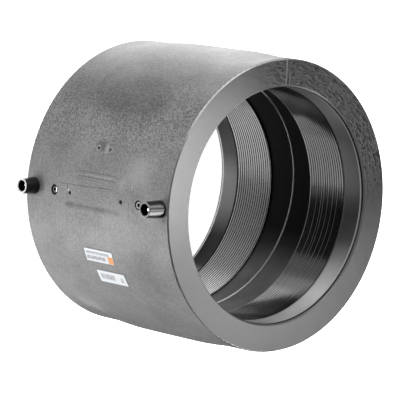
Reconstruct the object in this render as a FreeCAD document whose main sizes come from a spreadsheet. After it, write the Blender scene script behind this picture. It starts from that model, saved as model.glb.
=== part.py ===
import FreeCAD, Part
import math
import os

import Sketcher
from FreeCAD import Placement, Rotation, Vector

# Electrofusion coupler for 200 mm polyethylene pipe.
# The axis of the coupler is Z and the origin is on it, half way between the two mouths, where
# the pipe ends meet. The front mouth looks along +Z and the terminals stand out along -Y.

# Driving sizes: name, value in millimetres or degrees, meaning
SIZES = (
    ("pipe_diameter", 200.0, "outside diameter of the pipe that each socket takes"),
    ("pipe_clearance", 0.6, "gap between pipe and socket wall, all round"),
    ("body_length", 185.0, "coupler length from mouth to mouth"),
    ("wall_at_ends", 24.2, "wall thickness at the two ends"),
    ("barrel_swell", 2.0, "how far the middle of the barrel stands above its ends"),
    ("shoulder_start", 16.5, "distance from each mouth to where the barrel starts to swell"),
    ("shoulder_length", 46.0, "length of the gentle S-shaped swell"),
    ("rim_round", 1.2, "rounding of the outer edge at each mouth"),
    ("bevel_depth", 1.4, "steep bevel at the mouth, along the axis"),
    ("bevel_width", 1.2, "steep bevel at the mouth, across the wall"),
    ("lead_in_depth", 1.6, "gentle lead-in behind the bevel, along the axis"),
    ("lead_in_width", 0.6, "gentle lead-in behind the bevel, across the wall"),
    ("cold_end_length", 24.5, "plain entry zone at each mouth, bevels included"),
    ("coil_edge_depth", 0.6, "bevel where the entry zone drops to the winding, across the wall"),
    ("coil_edge_length", 1.6, "the same bevel, along the axis"),
    ("coil_length", 42.6, "length of the fusion zone that the wire covers in one socket"),
    ("wire_pitch", 2.83, "distance between two turns of the jacketed wire"),
    ("crest_setback", 0.3, "how far the crests of the turns stand back from the pipe clearance"),
    ("groove_depth", 0.45, "depth of the groove between two turns"),
    ("groove_width", 1.1, "width of that groove at the crests"),
    ("coil_backing", 1.6, "jacket behind the grooves"),
    ("centre_relief", 2.0, "how far the wall between the two coils is set back"),
    ("link_height", 0.8, "link wire above the wall between the coils"),
    ("link_width", 1.6, "link wire along the axis"),
    ("link_pitch", 40.5, "rise of the link wire in one full turn"),
    ("link_end_angle", 28.5, "angle from the terminals to where the link wire joins the front coil"),
    ("groove_start_angle", 270.0, "angle from the terminals to where each winding starts"),
    ("terminal_inset", 10.3, "distance from each mouth to the terminal's centre line"),
    ("front_stand", 16.8, "front shroud above the body"),
    ("rear_stand", 14.0, "rear shroud above the body"),
    ("seat_depth", 9.0, "how deep a shroud sits in the wall"),
    ("shroud_mouth_radius", 6.6, "outside radius of a shroud at its mouth"),
    ("shroud_root_radius", 8.0, "outside radius of a shroud at its root"),
    ("shroud_socket_radius", 4.9, "inside radius of a shroud"),
    ("shroud_socket_depth", 12.5, "depth of the shroud's inside, from its mouth"),
    ("shroud_lip_round", 0.5, "rounding of the shroud's lip"),
    ("pin_radius", 2.0, "contact pin, the end that the plug grips"),
    ("pin_shank_radius", 2.7, "contact pin's shank, in the floor of the shroud"),
    ("pin_recess", 4.2, "contact pin's tip below the shroud's mouth"),
    ("pin_tip_round", 0.9, "rounding of the contact pin's tip"),
    ("pin_foot_radius", 3.6, "flange under the shroud that keeps the pin in"),
    ("pin_foot_height", 2.2, "thickness of that flange"),
    ("lead_wire_radius", 0.6, "bare end of the heating wire, from coil to pin"),
    ("front_indicator_inset", 36.6, "distance from the front mouth to its fusion indicator"),
    ("rear_indicator_inset", 39.1, "distance from the rear mouth to its fusion indicator"),
    ("indicator_well_radius", 4.2, "round well about the fusion indicator"),
    ("indicator_well_depth", 1.4, "floor of that well, below the surface at the coupler's ends"),
    ("indicator_radius", 2.8, "fusion indicator pin"),
    ("indicator_depth", 13.0, "how deep the indicator pin reaches below that surface"),
    ("indicator_top", 0.3, "top of the indicator pin above that surface"),
    ("indicator_dimple_radius", 1.5, "dimple in the indicator pin"),
    ("indicator_dimple_depth", 1.6, "depth of the dimple"),
    ("panel_length", 58.0, "shallow panel between the indicators, along the axis"),
    ("panel_height", 17.0, "height of the panel, round the barrel"),
    ("panel_depth", 0.3, "depth of the panel below the barrel"),
    ("panel_centre", -6.5, "middle of the panel, along the axis"),
    ("panel_angle", 0.6, "angle from the terminals to the panel"),
    ("pit_radius", 1.2, "small round pits beside the panel"),
    ("pit_depth", 1.2, "depth of those pits below the barrel"),
    ("rear_pit_height", -32.0, "rear pit, along the axis"),
    ("front_pit_height", 34.0, "front pit, along the axis"),
    ("date_mark_radius", 2.4, "round date marks above the panel"),
    ("date_mark_depth", 0.4, "depth of the ring in a date mark"),
    ("date_mark_core", 1.1, "radius of the core that the ring leaves standing"),
    ("date_mark_angle", -18.8, "angle from the terminals to the date marks"),
    ("rear_date_mark_height", -5.0, "rear date mark, along the axis"),
    ("front_date_mark_height", 9.9, "front date mark, along the axis"),
    ("label_thickness", 0.2, "paper label"),
    ("label_height", 13.0, "height of a label, round the barrel"),
    ("product_label_length", 37.4, "label nearer the terminals, along the axis"),
    ("product_label_centre", -1.5, "middle of that label, along the axis"),
    ("product_label_angle", 23.5, "angle from the terminals to that label"),
    ("trace_label_length", 37.4, "label further from the terminals, along the axis"),
    ("trace_label_centre", 6.9, "middle of that label, along the axis"),
    ("trace_label_angle", 32.6, "angle from the terminals to that label"),
)

doc = FreeCAD.newDocument("ElectrofusionCoupler")
sheet = doc.addObject("Spreadsheet::Sheet", "Sizes")
for row, (alias, value, meaning) in enumerate(SIZES, start=1):
    sheet.set(f"A{row}", meaning)
    sheet.set(f"B{row}", str(value))
    sheet.setAlias(f"B{row}", alias)
doc.recompute()

# Places that several pieces share, as formulas of the sizes above
HALF = "(Sizes.body_length / 2)"
BORE = "(Sizes.pipe_diameter / 2 + Sizes.pipe_clearance)"
END_RADIUS = f"({BORE} + Sizes.wall_at_ends)"
BARREL = f"({END_RADIUS} + Sizes.barrel_swell)"
CREST = f"({BORE} + Sizes.crest_setback)"
VALLEY = f"({CREST} + Sizes.groove_depth)"
RECESS = f"({VALLEY} + Sizes.coil_backing)"
CENTRE_WALL = f"({BORE} + Sizes.centre_relief)"
COIL_OUTER_END = f"({HALF} - Sizes.cold_end_length)"
COIL_INNER_END = f"({COIL_OUTER_END} - Sizes.coil_length)"
TERMINAL_HEIGHT = f"({HALF} - Sizes.terminal_inset)"
SHROUD_ROOT = f"({END_RADIUS} - Sizes.seat_depth)"
PIN_FOOT = f"({SHROUD_ROOT} - Sizes.pin_foot_height)"
LEAD_RADIUS = f"({VALLEY} + Sizes.coil_backing / 2)"
INDICATOR_FLOOR = f"({END_RADIUS} - Sizes.indicator_well_depth)"
INDICATOR_BOTTOM = f"({END_RADIUS} - Sizes.indicator_depth)"
ENDS = (("front", 1), ("rear", -1))


def value_of(formula):
    """Gives the number that a formula of the sizes comes to."""
    result = sheet.evalExpression(formula)
    return float(getattr(result, "Value", result))


def lock(sketch, point, axis, formula):
    """Holds one coordinate of a sketch point at a formula of the sizes."""
    geometry, end = point
    size = value_of(formula)
    if formula == "0":
        crossed = -2 if axis == "X" else -1
        sketch.addConstraint(Sketcher.Constraint("PointOnObject", geometry, end, crossed))
        return
    pair = (-1, 1, geometry, end) if size > 0 else (geometry, end, -1, 1)
    index = sketch.addConstraint(Sketcher.Constraint("Distance" + axis, *pair, abs(size)))
    sign = "" if size > 0 else "-"
    sketch.setExpression(f"Constraints[{index}]", f"{sign}{formula}")


def outline(body, name, plane, corners):
    """Draws a closed outline on a plane of a body and holds it at the sizes.

    Each corner is (x, y) or (x, y, radius, side). The last two make the stretch to the next
    corner an arc that bulges to the left (side 1) or to the right (side -1) of the way there.
    """
    sketch = body.newObject("Sketcher::SketchObject", name)
    origin = body.Origin.OriginFeatures
    sketch.AttachmentSupport = [(next(p for p in origin if p.Role == plane), "")]
    sketch.MapMode = "FlatFace"
    points = [Vector(value_of(c[0]), value_of(c[1]), 0) for c in corners]
    starts, ends = [], []
    for index, corner in enumerate(corners):
        here, there = points[index], points[(index + 1) % len(points)]
        if len(corner) == 2:
            geometry = sketch.addGeometry(Part.LineSegment(here, there), False)
            starts.append((geometry, 1))
            ends.append((geometry, 2))
            continue
        radius, side = value_of(corner[2]), corner[3]
        chord = there - here
        rise = radius - math.sqrt(max(radius**2 - chord.Length**2 / 4, 0.0))
        left = Vector(-chord.y, chord.x, 0).normalize()
        middle = (here + there) / 2 + left * (side * rise)
        geometry = sketch.addGeometry(Part.Arc(here, middle, there), False)
        forward = sketch.getPoint(geometry, 1).distanceToPoint(here) < 1e-6
        starts.append((geometry, 1 if forward else 2))
        ends.append((geometry, 2 if forward else 1))
    for index, corner in enumerate(corners):
        following = starts[(index + 1) % len(corners)]
        sketch.addConstraint(Sketcher.Constraint("Coincident", *ends[index], *following))
        lock(sketch, starts[index], "X", corner[0])
        lock(sketch, starts[index], "Y", corner[1])
        if len(corner) == 4:
            arc = starts[index][0]
            held = sketch.addConstraint(Sketcher.Constraint("Radius", arc, value_of(corner[2])))
            sketch.setExpression(f"Constraints[{held}]", corner[2])
    return sketch


def new_piece(label):
    """Starts a piece of its own; its label is also its file's name."""
    body = doc.addObject("PartDesign::Body", label)
    body.Label = label
    return body


def turn(body, kind, sketch, axis, angle="360"):
    """Turns an outline about an axis of its sketch, to add or to take away."""
    feature = body.newObject(f"PartDesign::{kind}", f"{sketch.Name}_{kind}")
    feature.Profile = sketch
    feature.ReferenceAxis = (sketch, [axis])
    feature.Midplane = True
    feature.setExpression("Angle", angle)
    sketch.Visibility = False
    return feature


def stand_out(body, distance, height):
    """Turns a piece made along its own Z to point along -Y, at a distance from the axis."""
    body.Placement = Placement(Vector(0, 0, 0), Rotation(Vector(1, 0, 0), 90))
    body.setExpression(".Placement.Base.y", f"-{distance}")
    body.setExpression(".Placement.Base.z", height)


# Body: a thick ring moulded in one piece, with the two winding recesses, the wells of the
# terminals and of the fusion indicators, and the paths of the two bare wire ends
def half_profile(side):
    """Gives half of the wall's outline, from mid-barrel over one mouth to the middle of the bore."""
    bend = "((Sizes.shoulder_length^2 + Sizes.barrel_swell^2) / (4 * Sizes.barrel_swell))"
    shoulder = f"({HALF} - Sizes.shoulder_start)"
    rim = "Sizes.rim_round"
    corners = [
        (BARREL, f"({shoulder} - Sizes.shoulder_length)", bend, -1),
        (f"({BARREL} - Sizes.barrel_swell / 2)", f"({shoulder} - Sizes.shoulder_length / 2)", bend, 1),
        (END_RADIUS, shoulder),
        (END_RADIUS, f"({HALF} - {rim})", rim, -1),
        (f"({END_RADIUS} - {rim})", HALF),
        (f"({BORE} + Sizes.lead_in_width + Sizes.bevel_width)", HALF),
        (f"({BORE} + Sizes.lead_in_width)", f"({HALF} - Sizes.bevel_depth)"),
        (BORE, f"({HALF} - Sizes.bevel_depth - Sizes.lead_in_depth)"),
        (BORE, f"({COIL_OUTER_END} + Sizes.coil_edge_length)"),
        (f"({BORE} + Sizes.coil_edge_depth)", COIL_OUTER_END),
        (RECESS, COIL_OUTER_END),
        (RECESS, COIL_INNER_END),
        (CENTRE_WALL, COIL_INNER_END),
    ]
    if side > 0:
        return corners
    below = []
    for index in range(len(corners) - 1, -1, -1):
        leaving = corners[index - 1] if index > 0 else ()
        bend_on_the_way = leaving[2:] if len(leaving) == 4 else ()
        below.append((corners[index][0], f"-{corners[index][1]}", *bend_on_the_way))
    return below


def terminal_well(body, end, side):
    """Takes away what the shroud, the pin's foot and the lead wire's radial part fill."""
    stand = f"Sizes.{end}_stand"
    corners = [
        (f"-({END_RADIUS} + {stand})", "0"),
        (f"-({END_RADIUS} + {stand})", "Sizes.shroud_mouth_radius"),
        (f"-{SHROUD_ROOT}", "Sizes.shroud_root_radius"),
        (f"-{SHROUD_ROOT}", "Sizes.pin_foot_radius"),
        (f"-{PIN_FOOT}", "Sizes.pin_foot_radius"),
        (f"-{PIN_FOOT}", "Sizes.lead_wire_radius"),
        (f"-({LEAD_RADIUS} - Sizes.lead_wire_radius)", "Sizes.lead_wire_radius"),
        (f"-({LEAD_RADIUS} - Sizes.lead_wire_radius)", "0"),
    ]
    sketch = outline(body, f"terminal_well_{end}", "YZ_Plane", corners)
    sketch.setExpression(".AttachmentOffset.Base.y", f"{side} * {TERMINAL_HEIGHT}")
    turn(body, "Groove", sketch, "H_Axis")


def lead_wire_corners(side):
    """Gives half the section of the lead wire's axial part, from inside its band outwards."""
    start = f"{side} * ({COIL_OUTER_END} - Sizes.lead_wire_radius)"
    return [
        ("0", start),
        ("Sizes.lead_wire_radius", start),
        ("Sizes.lead_wire_radius", f"{side} * ({TERMINAL_HEIGHT} + Sizes.lead_wire_radius)"),
        ("0", f"{side} * ({TERMINAL_HEIGHT} + Sizes.lead_wire_radius)"),
    ]


def lead_wire_run(body, end, side, kind):
    """Adds or takes away the axial part of a lead wire."""
    sketch = outline(body, f"lead_run_{end}", "YZ_Plane", lead_wire_corners(side))
    sketch.setExpression(".AttachmentOffset.Base.x", f"-{LEAD_RADIUS}")
    turn(body, kind, sketch, "V_Axis")


def indicator_height(end, side):
    """Gives the height of a fusion indicator along the axis."""
    return f"{side} * ({HALF} - Sizes.{end}_indicator_inset)"


def round_cut(body, name, corners, angle, height):
    """Takes away a round form that looks outwards at an angle from the terminals."""
    sketch = outline(body, name, "YZ_Plane", corners)
    sketch.AttachmentOffset = Placement(Vector(0, 0, 0), Rotation(Vector(0, 1, 0), 1))
    sketch.setExpression(".AttachmentOffset.Base.y", height)
    sketch.setExpression(".AttachmentOffset.Rotation.Angle", angle)
    turn(body, "Groove", sketch, "H_Axis")


def indicator_well(body, end, side):
    """Takes away the fusion indicator's hole and the shallow well about it."""
    above = f"-({BARREL} + Sizes.barrel_swell)"
    corners = [
        (above, "0"),
        (above, "Sizes.indicator_well_radius"),
        (f"-{INDICATOR_FLOOR}", "Sizes.indicator_well_radius"),
        (f"-{INDICATOR_FLOOR}", "Sizes.indicator_radius"),
        (f"-{INDICATOR_BOTTOM}", "Sizes.indicator_radius"),
        (f"-{INDICATOR_BOTTOM}", "0"),
    ]
    round_cut(body, f"indicator_well_{end}", corners, "0", indicator_height(end, side))


def panel(body):
    """Takes away the shallow panel between the fusion indicators."""
    above, floor = f"-({BARREL} + Sizes.barrel_swell)", f"-({BARREL} - Sizes.panel_depth)"
    low = "(Sizes.panel_centre - Sizes.panel_length / 2)"
    high = "(Sizes.panel_centre + Sizes.panel_length / 2)"
    corners = [(above, low), (floor, low), (floor, high), (above, high)]
    sketch = outline(body, "panel_section", "YZ_Plane", corners)
    sketch.AttachmentOffset = Placement(Vector(0, 0, 0), Rotation(Vector(0, 1, 0), 1))
    sketch.setExpression(".AttachmentOffset.Rotation.Angle", "Sizes.panel_angle")
    turn(body, "Groove", sketch, "V_Axis", f"Sizes.panel_height / {BARREL} * 180 / pi")


def small_marks(body, end):
    """Takes away one pit beside the panel and one ring-shaped date mark above it."""
    above = f"-({BARREL} + Sizes.barrel_swell)"
    pit_floor = f"-({BARREL} - Sizes.pit_depth)"
    pit = [(above, "0"), (above, "Sizes.pit_radius"), (pit_floor, "Sizes.pit_radius"), (pit_floor, "0")]
    round_cut(body, f"pit_{end}", pit, "0", f"Sizes.{end}_pit_height")
    ring_floor = f"-({BARREL} - Sizes.date_mark_depth)"
    core, rim = "Sizes.date_mark_core", "Sizes.date_mark_radius"
    ring = [(above, core), (above, rim), (ring_floor, rim), (ring_floor, core)]
    round_cut(body, f"date_mark_{end}", ring, "Sizes.date_mark_angle", f"Sizes.{end}_date_mark_height")


def make_body():
    """Builds the moulded body."""
    body = new_piece("coupler_body")
    loop = half_profile(1) + half_profile(-1)
    turn(body, "Revolution", outline(body, "wall_section", "YZ_Plane", loop), "V_Axis")
    for end, side in ENDS:
        terminal_well(body, end, side)
        lead_wire_run(body, end, side, "Groove")
        indicator_well(body, end, side)
    panel(body)
    for end, side in ENDS:
        small_marks(body, end)
    return body


# Heating wire: one jacketed wire, wound turn beside turn in each socket, with a slanted stretch
# across the middle and a bare end to each terminal
def wind(body, kind, name, corners, pitch, height, start):
    """Sweeps an outline round the coupler's axis along a right-handed helix."""
    sketch = outline(body, name, "XZ_Plane", corners)
    sketch.AttachmentOffset = Placement(Vector(0, 0, 0), Rotation(Vector(0, 1, 0), 1))
    sketch.setExpression(".AttachmentOffset.Rotation.Angle", start)
    helix = body.newObject(f"PartDesign::{kind}Helix", f"{name}_helix")
    helix.Profile = sketch
    helix.ReferenceAxis = (sketch, ["V_Axis"])
    helix.Mode = "pitch-height-angle"
    helix.setExpression("Pitch", pitch)
    helix.setExpression("Height", height)
    sketch.Visibility = False


def wound_band(body, end, side):
    """Adds the band that the turns of one socket form together."""
    low, high = f"{side} * {COIL_INNER_END}", f"{side} * {COIL_OUTER_END}"
    ring = [(CREST, low), (RECESS, low), (RECESS, high), (CREST, high)]
    turn(body, "Revolution", outline(body, f"band_section_{end}", "YZ_Plane", ring), "V_Axis")


def groove_between_turns(body, end, side):
    """Takes away the helical groove between the turns of one socket."""
    low = COIL_INNER_END if side > 0 else f"-{COIL_OUTER_END}"
    half = "(Sizes.groove_width / 2)"
    groove = [
        (BORE, f"({low} - {half})"),
        (CREST, f"({low} - {half})"),
        (VALLEY, low),
        (CREST, f"({low} + {half})"),
        (BORE, f"({low} + {half})"),
    ]
    wind(body, "Subtractive", f"groove_{end}", groove, "Sizes.wire_pitch", "Sizes.coil_length",
         "Sizes.groove_start_angle - 90")


def link_stretch(body):
    """Adds the stretch that crosses the middle, from the rear band to the front one."""
    overlap = "(Sizes.link_width / 2)"
    low = f"(-{COIL_INNER_END} - {overlap})"
    rise = f"(2 * {COIL_INNER_END} + 2 * {overlap} - Sizes.link_width)"
    flat = "(Sizes.link_width * 0.3)"
    corners = [
        (CENTRE_WALL, low),
        (CENTRE_WALL, f"({low} + Sizes.link_width)"),
        (f"({CENTRE_WALL} - Sizes.link_height)", f"({low} + Sizes.link_width - {flat})"),
        (f"({CENTRE_WALL} - Sizes.link_height)", f"({low} + {flat})"),
    ]
    start = f"(Sizes.link_end_angle - 90 - {rise} / Sizes.link_pitch * 360)"
    wind(body, "Additive", "link", corners, "Sizes.link_pitch", rise, start)


def bare_end(body, end, side):
    """Adds a bare wire end: along the wall from its band, then out to the pin's foot."""
    lead_wire_run(body, end, side, "Revolution")
    corners = [
        (f"-{PIN_FOOT}", "0"),
        (f"-{PIN_FOOT}", "Sizes.lead_wire_radius"),
        (f"-({LEAD_RADIUS} - Sizes.lead_wire_radius)", "Sizes.lead_wire_radius"),
        (f"-({LEAD_RADIUS} - Sizes.lead_wire_radius)", "0"),
    ]
    sketch = outline(body, f"lead_riser_{end}", "YZ_Plane", corners)
    sketch.setExpression(".AttachmentOffset.Base.y", f"{side} * {TERMINAL_HEIGHT}")
    turn(body, "Revolution", sketch, "H_Axis")


def make_heating_wire():
    """Builds the whole wire, from the rear terminal to the front one."""
    body = new_piece("heating_wire")
    for end, side in ENDS:
        wound_band(body, end, side)
    link_stretch(body)
    for end, side in ENDS:
        bare_end(body, end, side)
    for end, side in ENDS:
        groove_between_turns(body, end, side)
    return body


# Terminals: a brass pin in a tapered, open-mouthed shroud at each end
def make_shroud(end, side):
    """Builds a shroud: a tapered cup with a hole for the pin in its floor."""
    body = new_piece(f"terminal_shroud_{end}")
    length = f"(Sizes.seat_depth + Sizes.{end}_stand)"
    lip = "Sizes.shroud_lip_round"
    floor = f"({length} - Sizes.shroud_socket_depth)"
    corners = [
        ("Sizes.pin_shank_radius", "0"),
        ("Sizes.shroud_root_radius", "0"),
        ("Sizes.shroud_mouth_radius", f"({length} - {lip})", lip, -1),
        (f"(Sizes.shroud_mouth_radius - {lip})", length),
        (f"(Sizes.shroud_socket_radius + {lip})", length),
        ("Sizes.shroud_socket_radius", f"({length} - {lip})"),
        ("Sizes.shroud_socket_radius", floor),
        ("Sizes.pin_shank_radius", floor),
    ]
    turn(body, "Revolution", outline(body, f"shroud_section_{end}", "XZ_Plane", corners), "V_Axis")
    stand_out(body, SHROUD_ROOT, f"{side} * {TERMINAL_HEIGHT}")
    return body


def make_pin(end, side):
    """Builds a contact pin: a flange, a shank in the shroud's floor and a plain end."""
    body = new_piece(f"terminal_pin_{end}")
    shoulder = "Sizes.pin_foot_height"
    mouth = f"({shoulder} + Sizes.seat_depth + Sizes.{end}_stand)"
    shank_end = f"({mouth} - Sizes.shroud_socket_depth)"
    tip = f"({mouth} - Sizes.pin_recess)"
    corners = [
        ("0", "0"),
        ("Sizes.pin_foot_radius", "0"),
        ("Sizes.pin_foot_radius", shoulder),
        ("Sizes.pin_shank_radius", shoulder),
        ("Sizes.pin_shank_radius", shank_end),
        ("Sizes.pin_radius", shank_end),
        ("Sizes.pin_radius", f"({tip} - Sizes.pin_tip_round)", "Sizes.pin_tip_round", -1),
        ("(Sizes.pin_radius - Sizes.pin_tip_round)", tip),
        ("0", tip),
    ]
    turn(body, "Revolution", outline(body, f"pin_section_{end}", "XZ_Plane", corners), "V_Axis")
    stand_out(body, PIN_FOOT, f"{side} * {TERMINAL_HEIGHT}")
    return body


def make_indicator(end, side):
    """Builds a fusion indicator: a plain pin with a dimple, pushed out once by the melt."""
    body = new_piece(f"fusion_indicator_{end}")
    length = "(Sizes.indicator_depth + Sizes.indicator_top)"
    dimple_floor = f"({length} - Sizes.indicator_dimple_depth)"
    corners = [
        ("0", "0"),
        ("Sizes.indicator_radius", "0"),
        ("Sizes.indicator_radius", length),
        ("Sizes.indicator_dimple_radius", length),
        ("Sizes.indicator_dimple_radius", dimple_floor),
        ("0", dimple_floor),
    ]
    section = outline(body, f"indicator_section_{end}", "XZ_Plane", corners)
    turn(body, "Revolution", section, "V_Axis")
    stand_out(body, INDICATOR_BOTTOM, indicator_height(end, side))
    return body


def make_label(name):
    """Builds a paper label that follows the barrel."""
    body = new_piece(name)
    length, centre, angle = (f"Sizes.{name}_{part}" for part in ("length", "centre", "angle"))
    corners = [
        (BARREL, f"({centre} - {length} / 2)"),
        (f"({BARREL} + Sizes.label_thickness)", f"({centre} - {length} / 2)"),
        (f"({BARREL} + Sizes.label_thickness)", f"({centre} + {length} / 2)"),
        (BARREL, f"({centre} + {length} / 2)"),
    ]
    sketch = outline(body, f"{name}_section", "XZ_Plane", corners)
    turn(body, "Revolution", sketch, "V_Axis", f"Sizes.label_height / {BARREL} * 180 / pi")
    body.Placement = Placement(Vector(0, 0, 0), Rotation(Vector(0, 0, 1), 1))
    body.setExpression(".Placement.Rotation.Angle", f"{angle} - 90")
    return body


pieces = [make_body(), make_heating_wire()]
for end, side in ENDS:
    pieces.append(make_pin(end, side))
    pieces.append(make_shroud(end, side))
    pieces.append(make_indicator(end, side))
for name in ("product_label", "trace_label"):
    pieces.append(make_label(name))
doc.recompute()

for item in doc.Objects:
    if "Invalid" in item.State or "Error" in item.State:
        raise RuntimeError(f"{item.Label} failed: {item.State}")
for piece in pieces:
    if piece.Shape.isNull() or not piece.Shape.isValid():
        raise RuntimeError(f"{piece.Label} has no valid shape")

os.makedirs("parts", exist_ok=True)
for piece in pieces:
    piece.Shape.exportStep(f"parts/{piece.Label}.step")
    box = piece.Shape.BoundBox
    print(f"{piece.Label}: {len(piece.Shape.Solids)} solid, {piece.Shape.Volume / 1000:.3f} cm3,"
          f" z {box.ZMin:.2f} to {box.ZMax:.2f}, y {box.YMin:.2f} to {box.YMax:.2f}")
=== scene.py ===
"""Looks of an electrofusion coupler for 200 mm polyethylene pipe.

The coupler stands on its rear mouth. Its axis is Z, the terminals stand out along -Y and the
labels are towards +X. Sizes are in metres unless a name says millimetres or degrees.
"""
import logging
import math
from dataclasses import dataclass
from enum import Enum, IntEnum
from typing import Any, Sequence

import bpy
import numpy as np
from mathutils import Matrix, Vector

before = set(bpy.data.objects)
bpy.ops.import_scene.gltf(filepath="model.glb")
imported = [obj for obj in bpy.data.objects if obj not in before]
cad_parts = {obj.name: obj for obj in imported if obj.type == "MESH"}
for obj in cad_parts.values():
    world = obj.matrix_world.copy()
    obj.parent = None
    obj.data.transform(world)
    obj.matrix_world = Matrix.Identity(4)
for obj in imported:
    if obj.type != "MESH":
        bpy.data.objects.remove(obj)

log = logging.getLogger("coupler")
logging.basicConfig(level=logging.INFO, format="%(message)s")

MM = 0.001
Colour = tuple[float, float, float, float]
Link = Any  # a socket of a shader graph, or a plain number or tuple


def grey(tone: float) -> Colour:
    """Gives the grey of a tone.

    Args:
        tone: 0 for black to 1 for white, as light reflects.

    Returns:
        The colour.
    """
    return tone, tone, tone, 1.0


class Zone(Enum):
    """Parts of the body that are finished differently."""

    OUTSIDE = "outside"
    END_FACE = "end face"
    EDGE = "rounded edge"
    MOUTH = "mouth bevels"
    FRONT_ENTRY = "front entry"
    REAR_ENTRY = "rear entry"
    MIDDLE = "middle"
    HOLLOW = "wells and channels"


@dataclass(frozen=True)
class CouplerSizes:
    """Main sizes of the coupler in millimetres, as the solids have them."""

    half_length: float = 92.5
    end_radius: float = 124.8  # outside, at the mouths
    barrel_radius: float = 126.8  # outside, at the middle
    mouth_bevel_radius: float = 102.4  # widest part of the bevel at a mouth
    entry_outer_end: float = 89.5  # height where a plain entry begins, behind the bevels
    band_outer_end: float = 68.0  # height where a winding ends towards its mouth
    band_inner_end: float = 25.4  # height where a winding ends towards the middle
    centre_radius: float = 102.6  # wall between the windings
    terminal_height: float = 82.2
    front_indicator_height: float = 55.9
    rear_indicator_height: float = -53.4


SIZES = CouplerSizes()


class Graph:
    """Short-hand for adding and joining shader nodes in one tree."""

    def __init__(self, tree: bpy.types.NodeTree) -> None:
        """Takes the tree that the nodes go into.

        Args:
            tree: a material's or a group's tree.
        """
        self.tree = tree

    def put(self, kind: str, inputs: dict[Any, Link] | None = None, **settings: Any) -> Any:
        """Adds one node.

        Args:
            kind: Blender's name for the type of node.
            inputs: what each input is set to or fed by, by name or number.
            settings: attributes set on the node.

        Returns:
            The new node.
        """
        node = self.tree.nodes.new(kind)
        for name, value in settings.items():
            setattr(node, name, value)
        for key, value in (inputs or {}).items():
            self.feed(node.inputs[key], value)
        return node

    def feed(self, socket: Any, value: Link) -> None:
        """Sets a socket to a value, or links it when the value is another node's socket.

        Args:
            socket: the input that is fed.
            value: what feeds it.
        """
        if isinstance(value, bpy.types.NodeSocket):
            self.tree.links.new(value, socket)
        else:
            socket.default_value = value

    def math(self, operation: str, *values: Link, clamp: bool = False) -> Any:
        """Adds a maths node.

        Args:
            operation: Blender's name for what it works out.
            values: what it works with, in order.
            clamp: whether the result is kept between 0 and 1.

        Returns:
            The resulting socket.
        """
        inputs = dict(enumerate(values))
        return self.put("ShaderNodeMath", inputs, operation=operation, use_clamp=clamp).outputs[0]

    def away(self, value: Link, middle: float) -> Any:
        """Works out how far a value is from a middle.

        Args:
            value: what is compared.
            middle: the number it is compared with.

        Returns:
            The resulting socket, never below 0.
        """
        return self.math("ABSOLUTE", self.math("SUBTRACT", value, middle))

    def vector(self, x: Link, y: Link, z: Link) -> Any:
        """Joins three numbers to one vector.

        Args:
            x: first number.
            y: second number.
            z: third number.

        Returns:
            The resulting socket.
        """
        return self.put("ShaderNodeCombineXYZ", {0: x, 1: y, 2: z}).outputs[0]

    def ramp(self, value: Link, low: float, high: float, start: float = 0.0,
             end: float = 1.0) -> Any:
        """Carries a value smoothly from one range to another.

        Args:
            value: what is carried over.
            low: input at which the result is start.
            high: input at which the result is end.
            start: result at low.
            end: result at high.

        Returns:
            The resulting socket.
        """
        inputs = {"Value": value, "From Min": low, "From Max": high, "To Min": start, "To Max": end}
        node = self.put("ShaderNodeMapRange", inputs, interpolation_type="SMOOTHSTEP")
        return node.outputs[0]

    def mix(self, amount: Link, first: Link, second: Link) -> Any:
        """Blends two colours.

        Args:
            amount: 0 for the first colour to 1 for the second.
            first: colour at 0.
            second: colour at 1.

        Returns:
            The resulting socket.
        """
        # The sockets between these are for blending numbers and vectors
        node = self.put("ShaderNodeMix", data_type="RGBA")
        self.feed(node.inputs[0], amount)
        self.feed(node.inputs[6], first)
        self.feed(node.inputs[7], second)
        return node.outputs[2]

    def noise(self, where: Link, scale: float, detail: float = 3.0, roughness: float = 0.55) -> Any:
        """Adds a noise pattern.

        Args:
            where: position that it is worked out at.
            scale: how fine it is.
            detail: how many finer layers it has.
            roughness: how strong those layers are.

        Returns:
            The socket with its value.
        """
        inputs = {"Vector": where, "Scale": scale, "Detail": detail, "Roughness": roughness}
        return self.put("ShaderNodeTexNoise", inputs).outputs[0]


def new_group(name: str, ins: dict[str, float], outs: Sequence[str]) -> tuple[Any, Graph, Any, Any]:
    """Starts a shader node group.

    Args:
        name: the group's name.
        ins: its number inputs with their usual values; a Position input is always there.
        outs: names of its number outputs.

    Returns:
        The group tree, its graph, its input node and its output node.
    """
    tree = bpy.data.node_groups.new(name, "ShaderNodeTree")
    tree.interface.new_socket("Position", in_out="INPUT", socket_type="NodeSocketVector")
    for key, value in ins.items():
        socket = tree.interface.new_socket(key, in_out="INPUT", socket_type="NodeSocketFloat")
        socket.default_value = value
    for key in outs:
        tree.interface.new_socket(key, in_out="OUTPUT", socket_type="NodeSocketFloat")
    graph = Graph(tree)
    return tree, graph, graph.put("NodeGroupInput"), graph.put("NodeGroupOutput")


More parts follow.
